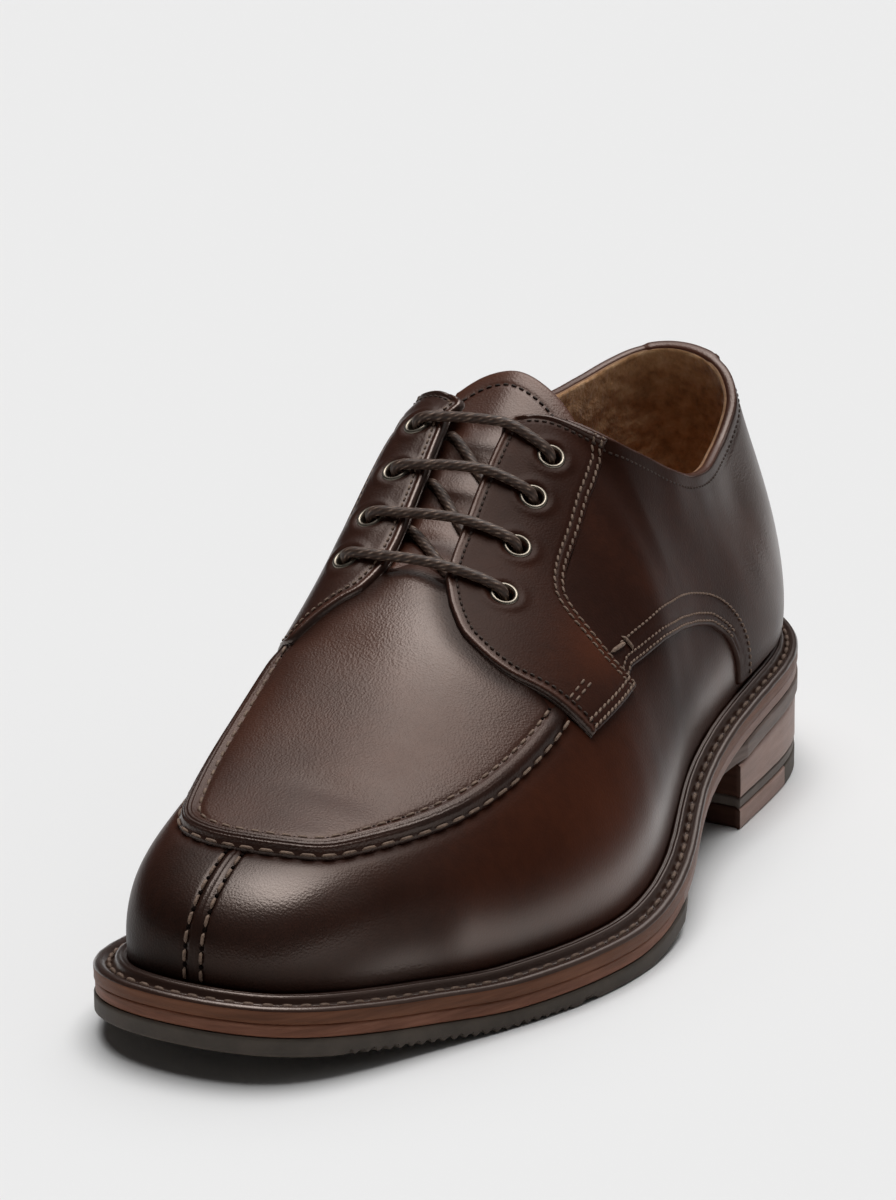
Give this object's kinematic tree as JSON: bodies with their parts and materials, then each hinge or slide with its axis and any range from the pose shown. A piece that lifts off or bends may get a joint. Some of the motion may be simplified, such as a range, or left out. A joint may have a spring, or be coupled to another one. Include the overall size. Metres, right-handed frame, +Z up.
{
  "type": "apron toe derby shoe",
  "caption": "Left apron toe derby dress shoe: hollow dark brown leather upper with raised plug and split toe, open lacing, storm welt, layered sole and stacked heel.",
  "frame": {"origin": "on the floor at the centre of the bounding box", "axes": "+Y from toe to heel, +X towards the wearer's left, which is the outer side of this left shoe, +Z up"},
  "size_m": [0.1113, 0.292, 0.1242],
  "materials": {
    "upper_leather": "polished, burnished dark brown",
    "welt_leather": "satin, dark edge dressing",
    "sole_leather": "satin red brown edge",
    "rubber": "matte",
    "insole_leather": "matte",
    "eyelet_metal": "antique, worn",
    "lace_cord": "waxed braid"
  },
  "bodies": {
    "root": {"upper": "upper_leather", "apron": "upper_leather", "eyestay_lateral": "upper_leather", "eyestay_medial": "upper_leather", "quarter_lateral": "upper_leather", "quarter_medial": "upper_leather", "back_strip": "upper_leather", "tongue": "upper_leather", "welt": "welt_leather", "midsole": "sole_leather", "heel_lifts": "sole_leather", "heel_toplift_leather": "sole_leather", "outsole": "rubber", "heel_band": "rubber", "heel_toplift_rubber": "rubber", "insole": "insole_leather", "eyelet_lateral_1": "eyelet_metal", "eyelet_lateral_2": "eyelet_metal", "eyelet_lateral_3": "eyelet_metal", "eyelet_lateral_4": "eyelet_metal", "eyelet_medial_1": "eyelet_metal", "eyelet_medial_2": "eyelet_metal", "eyelet_medial_3": "eyelet_metal", "eyelet_medial_4": "eyelet_metal", "lace": "lace_cord"}
  },
  "joints": []
}
